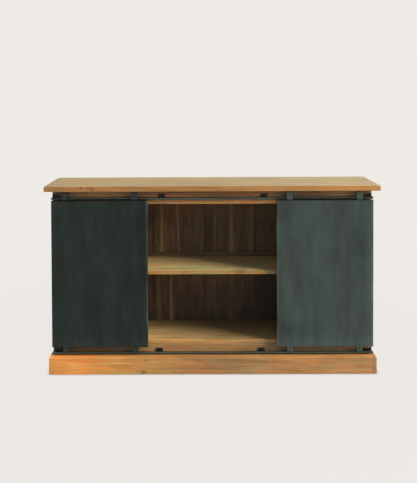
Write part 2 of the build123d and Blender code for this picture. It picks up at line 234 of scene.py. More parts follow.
def worn_board(node, grain, material, seed, tone=0.5, stain=1.0, upper=(1.0, 1.0, 1.0), butt=(),
               round_edge=0.0018, wear=0.0016, step=0.022, body="cabinet", extra=None):
    """A board in the box of a CAD node: a rounded outline carried along the grain, its ends rolled in.

    Rings near an end are the outline set in along its normals on a quarter circle, then shrink to a
    pole. Faces sink by a planing ripple of under half a millimetre, edges by uneven wear, but not
    towards the butt directions, where the next board lies against it; an end that butts stays crisp.
    Stain is the tint, which in places also holds painted light and shade, and upper a painted light
    that makes the face that looks up paler: colours, or functions that give one at each point.
    """
    low, high = (np.array(corner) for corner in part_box(node))
    along = "XYZ".index(grain)
    across = [i for i in range(3) if i != along]
    centre, half = (low + high) / 2, (high - low) / 2
    rng = np.random.default_rng(seed)
    round_edge = min(round_edge, 0.3 * half.min())
    ring_step, planing = 0.016, 0.00022
    outline, normals, edges = rounded_outline(half[across[0]], half[across[1]], round_edge, step)
    count = len(outline)
    turn = np.linspace(np.pi / 2, 0.0, 4)
    round_end = 0.0004 if grain in dict(butt) else round_edge
    end = -half[along] + round_end * (1 - np.sin(turn))
    inset = round_end * (1 - np.cos(turn))
    middle = np.linspace(end[-1] + 1.5 * round_edge, -end[-1] - 1.5 * round_edge,
                         max(3, int(2 * half[along] / ring_step)))
    station = np.concatenate([end, middle, -end[::-1]])
    inset = np.concatenate([inset, np.zeros(len(middle)), inset[::-1]])
    spots = outline[None] - inset[:, None, None] * normals[None]
    place = np.concatenate([np.repeat(station[:, None, None], count, axis=1), spots], axis=-1)
    planed = planing * (1 + ripple(place, 0.16, rng))
    knocks = ripple(place, 0.035, rng) + 0.35 * ripple(place, 0.3, rng) - 0.25
    worn = wear * np.clip(knocks, 0, 1) ** 1.3
    sink = planed + worn * edges[None] ** 2
    for axis, side in butt:
        if axis != grain:
            sink = sink * (1 - np.clip(side * normals[:, across.index("XYZ".index(axis))], 0, 1))
    spots = spots - sink[..., None] * normals[None]
    cap = np.array([0.3, 0.7])[:, None, None]
    spots = np.concatenate([cap * spots[:1], spots, cap[::-1] * spots[-1:]])
    station = np.concatenate([[station[0]] * 2, station, [station[-1]] * 2])
    rings = len(station)
    local = np.zeros((rings, count, 3))
    local[..., 0] = station[:, None]
    local[..., 1:] = spots
    local = np.concatenate([local.reshape(-1, 3), [[station[0], 0, 0], [station[-1], 0, 0]]])
    points = np.empty_like(local)
    points[:, along] = centre[along] + local[:, 0]
    points[:, across[0]] = centre[across[0]] + local[:, 1]
    points[:, across[1]] = centre[across[1]] + local[:, 2]
    faces = [ring_faces(rings, count),
             fan_faces(rings * count, 0, count),
             fan_faces(rings * count + 1, (rings - 1) * count, count)[:, ::-1]]
    pith = np.array([rng.uniform(0, 9), rng.uniform(-0.05, 0.05), rng.uniform(0.05, 0.13)])
    wear = np.concatenate([np.tile(edges, rings), [0.0, 0.0]])
    shade = np.full(len(points), tone + rng.uniform(-0.04, 0.04))
    # Facing is how much a point looks up; upper makes those faces paler, painted light from above.
    facing = np.clip(normals[:, across.index(2)], 0, 1) if 2 in across else np.zeros(count)
    inner = np.clip(np.minimum(np.arange(rings), np.arange(rings)[::-1]) - 2, 0, 1)
    facing = np.concatenate([(inner[:, None] * facing).ravel(), [0.0, 0.0]])[:, None]
    tint = np.ones_like(points) * (stain(points) if callable(stain) else stain)
    tint = tint * (1 + facing * (np.array(upper(points) if callable(upper) else upper) - 1))
    fields = {"grain": local + pith, "tone": shade, "edge": wear, "tint": tint}
    if extra:
        fields.update(extra(points))
    piece = make_piece(f"{node}_wood", points, faces, material, fields=fields)
    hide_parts(node)
    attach(piece, body)


honey_tones = (0.472, 0.240, 0.085), (0.312, 0.144, 0.0452), (0.126, 0.0536, 0.0172)
honey_wood = solid_wood("honey_wood", *honey_tones, fleck=2.6,
                        eyes=[((-0.332, -0.214, 0.012), 0.015, 0.8), ((-0.134, -0.150, 0.477), 0.012, 0.5),
                              ((0.140, -0.150, 0.478), 0.026, 0.6)])
base_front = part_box("skirt_front")[0].y


def along_x(points, places, tints):
    """A tint at each point, between those given at places along X."""
    return np.stack([np.interp(points[:, 0], places, c) for c in zip(*tints)], axis=1)


def front_tints(points):
    """Lighter and warmer stretches along the front, most at the left end: tints at places along X that
    fade out over the depth.
    """
    places = [-0.80, -0.62, -0.35, -0.05, 0.35, 0.80]
    tints = [(1.90, 1.72, 1.25), (2.30, 1.90, 1.28), (1.40, 1.45, 1.20),
             (0.93, 0.99, 1.09), (1.15, 1.25, 1.31), (1.13, 1.16, 1.31)]
    full, fade = 0.01, 0.20
    front = np.clip(1.0 - (points[:, 1:2] - base_front - full) / fade, 0.0, 1.0)
    return 1.0 + front * (along_x(points, places, tints) - 1.0)


base_edge = 0.0009
to_left, to_right, above, below = ("X", -1), ("X", 1), ("Z", 1), ("Z", -1)
for node, grain, seed, butt in (("skirt_front", "X", 11, (to_left, to_right, above)),
                                ("skirt_back", "X", 12, (to_left, to_right, above)),
                                ("skirt_left", "Y", 13, (to_right, above)),
                                ("skirt_right", "Y", 14, (to_left, above))):
    worn_board(node, grain, honey_wood, seed, stain=front_tints, round_edge=base_edge, butt=butt)


# Deck of the base: a thick board on the skirt, flush with it all round, with a lipping across each end.
# The carcass stands on it, set back, and leaves a ledge in front for the bottom rail.
# The ledge's upper face is made a little paler: painted light from above.
ledge = (1.22, 1.18, 1.18)
for node, grain, seed, butt in (("base_deck", "X", 18, (to_left, to_right, below)),
                                ("base_lipping_left", "Y", 16, (to_right, below)),
                                ("base_lipping_right", "Y", 17, (to_left, below))):
    worn_board(node, grain, honey_wood, seed, stain=front_tints, upper=ledge, round_edge=base_edge,
               butt=butt)


# Ends of the carcass: upright panels glued up from solid boards, with the grain standing.
# They are housed for the shelves and screwed down through the deck.
worn_board("side_panel_left", "Z", honey_wood, 21)
worn_board("side_panel_right", "Z", honey_wood, 22)


# Floor of the carcass and the rails it lies on: the lower front rail shows above the ledge,
# the other one is behind, against the back boards.
def rail_stain_and_shade(points):
    """A warm stain, and darker behind the left door: painted shade under the door."""
    return np.interp(points[:, :1], [-0.36, -0.30], [0.62, 1.0]) * np.array([0.88, 1.00, 1.10])


worn_board("lower_front_rail", "X", honey_wood, 23, stain=rail_stain_and_shade)
worn_board("floor_back_rail", "X", honey_wood, 24)


def painted_bay_tint(points, front, back):
    """Painted light and shade in the bays: one tint at the open front, another one at the back."""
    bay_depth = 0.33
    depth = np.clip((points[:, 1:2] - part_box("floor_board")[0].y) / bay_depth, 0.0, 1.0)
    return np.array(front) + depth * (np.array(back) - np.array(front))


def floor_upper(points):
    """Painted light and shade: pale at the front, greyer and darker at the back, with a painted shadow
    of the right door in the middle.
    """
    middle = np.interp(points[:, :1], [-0.30, 0.05, 0.30], [1.07, 0.67, 0.80])
    return middle * painted_bay_tint(points, (1.18, 1.41, 1.85), (0.80, 1.13, 1.75))


worn_board("floor_board", "X", honey_wood, 25, stain=(1.24, 1.41, 1.34), upper=floor_upper,
           round_edge=0.0010)


# Partitions: two uprights between the bays, standing on the floor board.
# Each is notched round the apron, the batten on the shelves and the top rail of the back.
def cut_plate(outline, axis, low, high, ease):
    """A plate cut to an outline and carried from low to high along an axis, with eased rims.

    The rims are the outline moved inwards along the corners' mitres by the ease. Outline runs in the
    plane of the other two axes, in their order.
    """
    outline = np.asarray(outline, float)
    following = np.roll(outline, -1, axis=0)
    if (outline[:, 0] * following[:, 1] - outline[:, 1] * following[:, 0]).sum() < 0:
        outline = outline[::-1]
    ahead = np.roll(outline, -1, axis=0) - outline
    ahead = ahead / np.linalg.norm(ahead, axis=1, keepdims=True)
    before = np.roll(ahead, 1, axis=0)
    left = np.stack([-ahead[:, 1], ahead[:, 0]], axis=1)
    left_before = np.stack([-before[:, 1], before[:, 0]], axis=1)
    mitre = (left + left_before) / (1 + (left * left_before).sum(axis=1, keepdims=True))
    count = len(outline)
    rims = [(low, ease), (low + ease, 0.0), (high - ease, 0.0), (high, ease)]
    across = [i for i in range(3) if i != axis]
    points = np.zeros((len(rims), count, 3))
    points[..., axis] = np.array([place for place, _ in rims])[:, None]
    points[..., across] = outline[None] + np.array([inset for _, inset in rims])[:, None, None] * mitre[None]
    faces = [ring_faces(len(rims), count), np.arange(count)[None, ::-1],
             np.arange(count)[None] + (len(rims) - 1) * count]
    return points.reshape(-1, 3), faces


def joined(shapes):
    """Several point and face sets as one, with the face numbers moved on."""
    points, faces, start = [], [], 0
    for shape_points, shape_faces in shapes:
        points.append(shape_points)
        faces += [f + start for f in shape_faces]
        start += len(shape_points)
    return np.concatenate(points), faces


apron_low, apron_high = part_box("front_apron")
back_rail_low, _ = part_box("top_back_rail")
batten_low, batten_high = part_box("shelf_back_batten")
eased, partition_tone = 0.0012, 0.55
for node, seed in (("partition_left", 31), ("partition_right", 32)):
    low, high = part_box(node)
    outline = [
        (low.y, low.z), (low.y, apron_low.z), (apron_high.y, apron_low.z), (apron_high.y, high.z),
        (back_rail_low.y, high.z), (back_rail_low.y, back_rail_low.z), (high.y, back_rail_low.z),
        (high.y, batten_high.z), (batten_low.y, batten_high.z), (batten_low.y, batten_low.z),
        (high.y, batten_low.z), (high.y, low.z),
    ]
    points, faces = cut_plate(outline, 0, low.x, high.x, eased)
    rng = np.random.default_rng(seed)
    log = points[:, [2, 1, 0]] - np.array([low.z, 0.0, (low.x + high.x) / 2]) + rng.uniform(0.05, 0.3, 3)
    fields = {"grain": log, "tone": np.full(len(points), partition_tone), "edge": np.zeros(len(points)),
              "tint": np.ones((len(points), 3))}
    piece = make_piece(f"{node}_wood", points, faces, honey_wood, fields=fields)
    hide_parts(node)
    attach(piece, "cabinet")


# Shelves: one solid board in each bay at the same height, let into the ends and partitions.
# They are of the same oiled hardwood; their upper faces are made paler than the rest of it, painted
# light from above.
def shelf_stain_and_light(points):
    """A tint, and a little lighter towards the right: painted light on the end that the right door shades.
    """
    return np.interp(points[:, :1], [-0.3, 0.3], [0.93, 1.17]) * np.array([1.00, 1.27, 1.13])


def shelf_upper(points):
    """Painted light and shade: paler than the floor, paler still at the back, with a painted shadow of
    the right door in the middle.
    """
    middle = np.interp(points[:, :1], [-0.30, 0.05, 0.30], [1.04, 0.82, 0.86])
    return middle * painted_bay_tint(points, (1.40, 1.86, 2.80), (2.15, 2.70, 4.30))


for node, seed in (("shelf_left", 41), ("shelf_centre", 42), ("shelf_right", 43)):
    worn_board(node, "X", honey_wood, seed, stain=shelf_stain_and_light, upper=shelf_upper)


# Back: upright boards, stained dark, with pale streaks of sapwood left in them.
# They are nailed to the rail under the top, the rail behind the floor and a batten on the shelves.
back_middle = sum(corner.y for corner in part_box("back_board_1")) / 2


def sap_streaks(points):
    """Pale sapwood: soft upright bands, each a bell curve across the board that leans and widens upwards.

    A band has its place, half width, lean and flare at mid height of the upper bay, and how pale it is
    above and below the shelf, with a soft change between the two; outside it runs the full height.
    On the inside, one stripe of the heartwood is darker above the shelf and one board is nearly black
    below it. All are made lighter above the shelf and at the top of both bays, painted light, and dark
    along the floor, painted shade in the corner. Seams are dark.
    """
    bands = [(-0.259, 0.0065, 0.003, 0.0, 1.0, 0.1), (-0.174, 0.005, -0.02, 3.0, 0.9, 0.0),
             (0.019, 0.003, 0.0, 0.0, 0.6, 0.2), (0.106, 0.010, 0.0, -1.5, 0.8, 0.2),
             (0.210, 0.014, 0.02, 0.0, 0.5, 0.0), (-0.211, 0.006, 0.0, 0.0, 0.0, 0.9),
             (-0.275, 0.010, 0.0, 0.0, 0.0, 0.35), (-0.52, 0.010, 0.02, 0.0, 0.8, 0.5),
             (0.46, 0.008, -0.03, 0.0, 0.6, 0.9)]
    upper_middle, change_low, change_height = 0.65, 0.44, 0.08
    stripe_left, stripe_right = -0.0352, 0.016
    black_left, black_right = 0.2323, 0.5003
    lit_tops, lit_height = (0.755, 0.390), 0.058
    foot_height, seam_width, outside_share = 0.05, 0.004, 0.6
    place, wide, lean, flare, high, low = np.array(bands).T
    rise = points[:, 2:] - upper_middle
    wide = wide * (1 + flare * np.clip(rise, -0.2, 0.2))
    bell = np.exp(-((points[:, :1] - place - lean * rise) / wide) ** 2)
    above = np.clip((points[:, 2:] - change_low) / change_height, 0.0, 1.0)
    above = above * above * (3 - 2 * above)
    inside = points[:, 1:2] < back_middle
    level = np.where(inside, low + above * (high - low), outside_share * np.maximum(high, low))
    sap = (bell * level).max(axis=1)
    x, above, inside = points[:, 0], above[:, 0], inside[:, 0]
    stripe = (x > stripe_left) & (x < stripe_right)
    black = (x > black_left) & (x < black_right)
    foot = np.exp(-((points[:, 2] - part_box("floor_board")[1].z) / foot_height) ** 2)
    lit = np.exp(-((points[:, 2:] - lit_tops) / lit_height) ** 2).max(axis=1)
    # Painted light above the shelf and at the tops of the bays, painted shade along the floor.
    tone = -0.15 * above + 0.30 * stripe * above + black * (0.5 - 0.60 * above) + 0.25 * foot - 0.40 * lit
    seams = [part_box(f"back_board_{number}")[1].x for number in range(1, 6)]
    seam = np.exp(-(np.abs(points[:, :1] - seams).min(axis=1) / seam_width) ** 2)
    return {"sap": sap, "tone": 0.5 + inside * tone + 0.8 * seam}


def no_sap(points):
    """Heartwood all over."""
    return {"sap": np.zeros(len(points))}


def back_stain(points):
    """Seen from the open bay, a little redder on the left and greener on the right; plain elsewhere."""
    places = [-0.36, -0.33, -0.10, 0.18, 0.25, 0.33, 0.36]
    tints = [(1.0, 1.0, 1.0), (1.14, 1.14, 1.18), (1.14, 1.09, 1.02), (1.05, 1.05, 1.05),
             (1.00, 1.26, 1.35), (1.00, 1.26, 1.35), (1.0, 1.0, 1.0)]
    return np.where(points[:, 1:2] < back_middle, along_x(points, places, tints), 1.0)


stained_tones = (0.150, 0.083, 0.0325), (0.0875, 0.0460, 0.0168), (0.031, 0.0184, 0.0087)
stained_wood = solid_wood("stained_wood", *stained_tones, gloss=0.62, spread=0.46, hue=0.35, hair=0.20,
                          fleck=5.0, sap=(0.325, 0.215, 0.086))
for number in range(1, 7):
    worn_board(f"back_board_{number}", "Z", stained_wood, 50 + number, stain=back_stain,
               butt=(to_left, to_right), round_edge=0.0006, step=0.004, extra=sap_streaks)
worn_board("shelf_back_batten", "X", stained_wood, 61, tone=0.25, extra=no_sap)
worn_board("top_back_rail", "X", stained_wood, 62, extra=no_sap)


# Apron: the front rail of the carcass under the top, which carries the upper brackets.
# It is one board on edge, let into the ends and the partitions.
def apron_stain_and_light(points):
    """Painted light and shade: along the board, much lighter midway between the straps and darker beside
    them; in the open bay a lighter lower part and a light band just above the rail, below the top's
    shadow; a little darker low down behind the doors.
    """
    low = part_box("front_apron")[0].z
    lower = np.interp(points[:, 2:] - low, [0.0, 0.010, 0.024, 0.039, 0.050], [0.85, 0.70, 0.55, 1.70, 0.0])
    places = [-0.75, -0.52, -0.33, -0.30, 0.30, 0.33, 0.52, 0.62, 0.75]
    level = np.interp(points[:, :1], places, [0.80, 2.35, 0.90, 1.0, 1.0, 0.85, 1.15, 2.10, 0.90])
    bay = np.interp(np.abs(points[:, :1]), [0.30, 0.35], [1.0, -0.05])
    return level * (np.array([0.92, 1.00, 1.05]) + lower * bay * np.array([0.75, 0.50, 0.27]))


worn_board("front_apron", "X", honey_wood, 71, stain=apron_stain_and_light)


# Top: boards laid lengthwise edge to edge, closed by a lipping across each end.
# It overhangs the carcass on both sides and in front, and hides the upper rail from above.
bleached_wood = solid_wood("bleached_wood", *honey_tones, hue=0.5, fleck=2.0,
                           eyes=[((-0.623, -0.225, 0.892), 0.009, 0.8),
                                 ((-0.588, -0.225, 0.894), 0.008, 0.8),
                                 ((-0.570, -0.225, 0.888), 0.011, 0.8)])
top_edge, top_wear = 0.0009, 0.0008
top_places = [-0.8, 0.0, 0.8]


def top_stain(points):
    """Redder in the middle, and lighter towards the right end."""
    return along_x(points, top_places, [(1.08, 1.02, 0.88), (1.05, 0.93, 0.74), (1.40, 1.34, 1.07)])


def top_upper(points):
    """Paler on the face that looks up, least at the left end: painted light and sheen from above."""
    return along_x(points, top_places, [(0.86, 1.16, 0.75), (0.87, 1.33, 1.46), (0.725, 1.11, 1.56)])


to_front, to_back = ("Y", -1), ("Y", 1)
top_butts = {1: (to_back,), 2: (to_front, to_back), 3: (to_front, to_back), 4: (to_front,)}
for number, butt in top_butts.items():
    worn_board(f"top_board_{number}", "X", bleached_wood, 80 + number, stain=top_stain,
               upper=top_upper, round_edge=top_edge, wear=top_wear, butt=butt)
for node, seed in (("top_lipping_left", 86), ("top_lipping_right", 87)):
    worn_board(node, "Y", bleached_wood, seed, stain=top_stain, upper=top_upper,
               round_edge=top_edge, wear=top_wear)


# Rails: two lengths of round steel bar with their ends rounded over, dark and drawn along their length.
# The rollers run on top of them, and the arms of the brackets hold them from behind.
def dark_steel(name, base, rough, mottle, stretch, shaded=False, scratch=0.5):
    """Dark mill steel under wax: cloudy colour and gloss, fine drawn scratches, a little rust brown."""
    material = bpy.data.materials.new(name)
    material.use_nodes = True
    tree = material.node_tree
    shader = tree.nodes["Principled BSDF"]
    place = put(tree, "ShaderNodeTexCoord").outputs["Object"]
    cloud = stretched_noise(tree, place, stretch, 5.0, 0.55)
    grain = stretched_noise(tree, place, tuple(18 * s for s in stretch), 3.0)
    speck = graded(tree, stretched_noise(tree, place, (260.0, 260.0, 260.0), 2.0),
                   [(0.62, (0.0, 0.0, 0.0)), (0.78, (1.0, 1.0, 1.0))])
    warm, cool = (1.10, 0.98, 0.96), (0.96, 1.01, 1.01)
    dim, bright = (tuple(c * k * w for c, w in zip(base, hue)) for k, hue in
                   ((1 - mottle, warm), (1 + mottle, cool)))
    clouded = sums(tree, "MULTIPLY_ADD", sums(tree, "SUBTRACT", grain, 0.5), scratch, cloud)
    colour = graded(tree, clouded, [(0.30, dim), (0.70, bright)])
    # The shade attribute multiplies the colour; on the doors and straps it holds painted light.
    if shaded:
        shade = put(tree, "ShaderNodeAttribute", attribute_name="shade").outputs["Fac"]
        colour = mixed(tree, 1.0, colour, shade, "MULTIPLY")
    colour = mixed(tree, sums(tree, "MULTIPLY", speck, 0.25), colour, (0.09, 0.06, 0.04, 1.0))
    tree.links.new(colour, shader.inputs["Base Color"])
    shader.inputs["Metallic"].default_value = 1.0
    gloss = sums(tree, "ADD", rough - 0.10, sums(tree, "MULTIPLY", cloud, 0.14))
    tree.links.new(sums(tree, "ADD", gloss, sums(tree, "MULTIPLY", grain, 0.06)), shader.inputs["Roughness"])
    height = sums(tree, "ADD", sums(tree, "MULTIPLY", grain, 0.4), cloud)
    bump = put(tree, "ShaderNodeBump", {"Height": height, "Strength": 0.12, "Distance": 0.0008})
    tree.links.new(bump.outputs["Normal"], shader.inputs["Normal"])
    return material


def turned(profile, centre, axis, count=40, hollow=False):
    """A profile of radius and place along an axis, carried round it in count steps.

    A solid profile starts and ends at radius nought, where its rings close to poles; a hollow one is
    a closed loop.
    """
    profile = np.asarray(profile, float)
    turn = np.linspace(0.0, 2 * np.pi, count, endpoint=False)
    across = [i for i in range(3) if i != axis]
    body = profile if hollow else profile[1:-1]
    rings = np.zeros((len(body), count, 3))
    rings[..., axis] = centre[axis] + body[:, 1:2]
    rings[..., across[0]] = centre[across[0]] + body[:, :1] * np.cos(turn)
    rings[..., across[1]] = centre[across[1]] + body[:, :1] * np.sin(turn)
    points, faces = rings.reshape(-1, 3), [ring_faces(len(body), count)]
    if hollow:
        last = ring_faces(2, count)
        last[:, 2:] -= count
        last[:, :2] += (len(body) - 1) * count
        return points, faces + [last]
    poles = np.repeat(np.asarray(centre, float)[None], 2, axis=0)
    poles[:, axis] += profile[[0, -1], 1]
    start = len(body) * count
    return np.concatenate([points, poles]), faces + [
        fan_faces(start, 0, count), fan_faces(start + 1, start - count, count)[:, ::-1]]


bar_steel = dark_steel("bar_steel", (0.086, 0.129, 0.120), 0.42, 0.25, (6.0, 60.0, 60.0))
dome, margin, rings = 0.004, 0.01, 60
turn = np.linspace(0.0, np.pi / 2, 7)
for node in ("top_rail", "bottom_rail"):
    low, high = (np.array(corner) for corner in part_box(node))
    radius, half = (high[2] - low[2]) / 2, (high[0] - low[0]) / 2
    tip = np.stack([radius - dome + dome * np.sin(turn), -half + dome * (1 - np.cos(turn))], axis=1)
    run = np.stack([np.full(rings, radius), np.linspace(-half + margin, half - margin, rings)], axis=1)
    profile = np.concatenate([[[0.0, -half]], tip, run, tip[::-1] * [1, -1], [[0.0, half]]])
    points, faces = turned(profile, (low + high) / 2, 0)
    piece = make_piece(f"{node}_bar", points, faces, bar_steel)
    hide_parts(node)
    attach(piece, "cabinet")


# Brackets: strips of black plate bent to an angle, a leg screwed to the front of the carcass and an arm
# that is hollowed to meet the back of the rail. The two lower end ones have an ear, bent out of a side
# tab, that stops a roller.
def softened(corners, radius, steps=5):
    """An outline with each corner turned into a parabola from one radius before it to one after it."""
    corners = np.asarray(corners, float)
    reach = np.broadcast_to(radius, len(corners))[:, None]
    before, after = np.roll(corners, 1, axis=0) - corners, np.roll(corners, -1, axis=0) - corners
    start = corners + reach * before / np.linalg.norm(before, axis=1, keepdims=True)
    end = corners + reach * after / np.linalg.norm(after, axis=1, keepdims=True)
    u = np.linspace(0.0, 1.0, steps)[None, :, None]
    curve = (1 - u) ** 2 * start[:, None] + 2 * u * (1 - u) * corners[:, None] + u ** 2 * end[:, None]
    return curve.reshape(-1, 2)


black_steel = dark_steel("black_steel", (0.030, 0.037, 0.036), 0.50, 0.3, (30.0, 30.0, 30.0))
plate, leg, half_wide, rim_ease = 0.004, 0.022, 0.016, 0.0005
middle_place, top_shift, bottom_shift = 0.247, 0.004, -0.010
ear_face, ear_back, ear_root = 0.7265, 0.7305, 0.7400
ear_tip, ear_bend, ear_play = 0.0190, 0.0038, 0.0002
ear_low, ear_high = 0.0963, 0.1093
carcass_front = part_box("rail_brackets")[1].y
rail_low, rail_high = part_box("top_rail")
rail_middle, rail_radius = (rail_low.y + rail_high.y) / 2, (rail_high.z - rail_low.z) / 2
top_arm, bottom_arm = (rail_low.z + rail_high.z - plate) / 2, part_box("stop_brackets")[0].z
end_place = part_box("stop_brackets")[1].x - half_wide
bracket_places = {
    "rail_brackets": [(-end_place, top_arm), (top_shift - middle_place, top_arm),
                      (top_shift + middle_place, top_arm), (end_place, top_arm),
                      (bottom_shift - middle_place, bottom_arm), (bottom_shift + middle_place, bottom_arm)],
    "stop_brackets": [(-end_place, bottom_arm), (end_place, bottom_arm)],
}
sweep = np.linspace(1.0, -1.0, 9) * math.asin(plate / 2 / rail_radius)
for node, places in bracket_places.items():
    shapes = []
    for x, z in places:
        fold = softened([
            (carcass_front, z), (carcass_front, z + leg), (carcass_front - plate, z + leg),
            (carcass_front - plate, z + plate),
        ], [0.0040, 0.0008, 0.0008, 0.0015])
        hollow = np.stack([rail_middle + rail_radius * np.cos(sweep),
                           z + plate / 2 + rail_radius * np.sin(sweep)], axis=1)
        bent = np.concatenate([fold, hollow])
        shapes.append(cut_plate(bent, 0, x - half_wide, x + half_wide, rim_ease))
        if node == "stop_brackets":
            side = math.copysign(1.0, x)
            ear = softened([
                (side * ear_root, carcass_front - ear_play), (side * ear_face, carcass_front - ear_play),
                (side * ear_face, carcass_front - ear_tip), (side * ear_back, carcass_front - ear_tip),
                (side * ear_back, carcass_front - ear_bend), (side * ear_root, carcass_front - ear_bend),
            ], [0.0002, 0.003, 0.0008, 0.0008, 0.0015, 0.0002])
            shapes.append(cut_plate(ear, 2, ear_low, ear_high, rim_ease))
    points, faces = joined(shapes)
    piece = make_piece(f"{node}_bent", points, faces, black_steel)
    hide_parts(node)
    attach(piece, "cabinet")


# Screws of the brackets: black steel, countersunk, with a low dome and a cross pressed into the head.
# Two go through each leg into the front of the carcass.
def wood_screw(x, face, z, out, length):
    """A low dome, a cone and a shank turned about Y; out is the way that the head faces.

    Points of the dome that lie within a cross of two narrow strips are pressed in.
    """
    head, shank, pit, swell = 0.0036, 0.00175, 0.0012, 0.0004
    cross_half, cross_reach = 0.0005, 0.0022
    rise = np.linspace(0.0, np.pi / 2, 12)
    dome = np.stack([head * np.sin(rise), out * swell * np.cos(rise)], axis=1)
    stem = np.array([[shank, head - shank], [shank, length - shank], [0.0, length]]) * [1, -out]
    points, faces = turned(np.concatenate([dome, stem]), (x, face, z), 1, 32)
    across = np.abs(points[:, [0, 2]] - [x, z])
    pressed = (across.min(axis=1) < cross_half) & (across.max(axis=1) < cross_reach)
    points[pressed & (out * (points[:, 1] - face) > 0), 1] -= out * pit
    return points, faces


black_screw_steel = dark_steel("black_screw_steel", (0.035, 0.038, 0.036), 0.40, 0.2, (120.0, 120.0, 120.0))
hole_offset, hole_rise, screw_length = 0.009, 0.015, 0.020
shapes = [wood_screw(x + side * hole_offset, carcass_front - plate, z + hole_rise, -1, screw_length)
          for places in bracket_places.values() for x, z in places for side in (-1, 1)]
points, faces = joined(shapes)
piece = make_piece("bracket_screws_cross", points, faces, black_screw_steel)
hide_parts("bracket_screws")
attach(piece, "cabinet")


# Doors: a steel sheet folded back over a board on all four edges, the corners mitred and dressed.
# The sheet is left dark from the mill and waxed; it is not quite flat.
def folded_sheet(low, high, fold, sheet, rng):
    """A pan of sheet: a grid for the face, then rings that carry its rim round the fold and back.

    The face sinks by a soft ripple that dies out at the rim. Rings set the rim outwards and back on
    a quarter circle, then straight back, over the raw edge and forward again inside.
    """
    depth, dish = high[1] - low[1], 0.0007
    columns, rows = 48, 72
    x = np.linspace(low[0] + fold, high[0] - fold, columns)
    z = np.linspace(low[2] + fold, high[2] - fold, rows)
    grid_z, grid_x = np.meshgrid(z, x, indexing="ij")
    die_up, die_across = (np.sin(np.pi * np.linspace(0, 1, count)) for count in (rows, columns))
    die = (die_up[:, None] * die_across) ** 0.5
    field = ripple(np.stack([grid_x, 0.6 * grid_z], axis=-1), 0.22, rng)
    sink = dish * die * (0.5 + 0.5 * np.clip(field, -1, 1))
    face = np.stack([grid_x, low[1] + sink, grid_z], axis=-1).reshape(-1, 3)
    number = np.arange(rows * columns).reshape(rows, columns)
    rim = np.concatenate([number[0, :-1], number[:-1, -1], number[-1, :0:-1], number[:0:-1, 0]])
    edge = face[rim]
    out = np.stack([(edge[:, 0] > x[-1] - 1e-9) * 1.0 - (edge[:, 0] < x[0] + 1e-9),
                    (edge[:, 2] > z[-1] - 1e-9) * 1.0 - (edge[:, 2] < z[0] + 1e-9)], axis=1)
    turn = np.linspace(0.0, np.pi / 2, 7)[1:]
    steps = [(fold * np.sin(t), fold * (1 - np.cos(t))) for t in turn]
    steps += [(fold, d) for d in np.linspace(fold * 1.6, depth, 4)]
    steps += [(fold - sheet, depth), (fold - sheet, fold * 1.6)]
    steps += [((fold - sheet) * np.sin(t), fold - (fold - sheet) * np.cos(t)) for t in turn[::-1]]
    offset = np.array(steps)
    rings = np.repeat(edge[None], len(steps), axis=0)
    rings[..., 0] += offset[:, :1] * out[:, 0]
    rings[..., 2] += offset[:, :1] * out[:, 1]
    rings[..., 1] = low[1] + offset[:, 1:]
    inner = face + np.array([0.0, sheet, 0.0])
    count, start = len(rim), len(face)
    quads = np.stack([number[:-1, :-1], number[:-1, 1:], number[1:, 1:], number[1:, :-1]], axis=-1)
    quads = quads.reshape(-1, 4)
    column = np.arange(count)
    first = np.stack([rim, rim[(column + 1) % count], start + (column + 1) % count, start + column], axis=-1)
    last_ring = start + (len(steps) - 1) * count
    inner_start = start + len(steps) * count
    last = np.stack([last_ring + column, last_ring + (column + 1) % count,
                     inner_start + rim[(column + 1) % count], inner_start + rim], axis=-1)
    points = np.concatenate([face, rings.reshape(-1, 3), inner])
    faces = [quads[:, ::-1], first, ring_faces(len(steps), count, start), last, inner_start + quads]
    return points, [f[:, ::-1] for f in faces]


sheet_steel = dark_steel("sheet_steel", (0.041, 0.054, 0.0500), 0.45, 0.20, (22.0, 22.0, 5.0), shaded=True,
                         scratch=0.2)
# Painted light: the right door's sheet is made over twice as light as the left one's, for the brighter light
# that it reflects.
painted_door_light = {"left": 0.73, "right": 1.64}
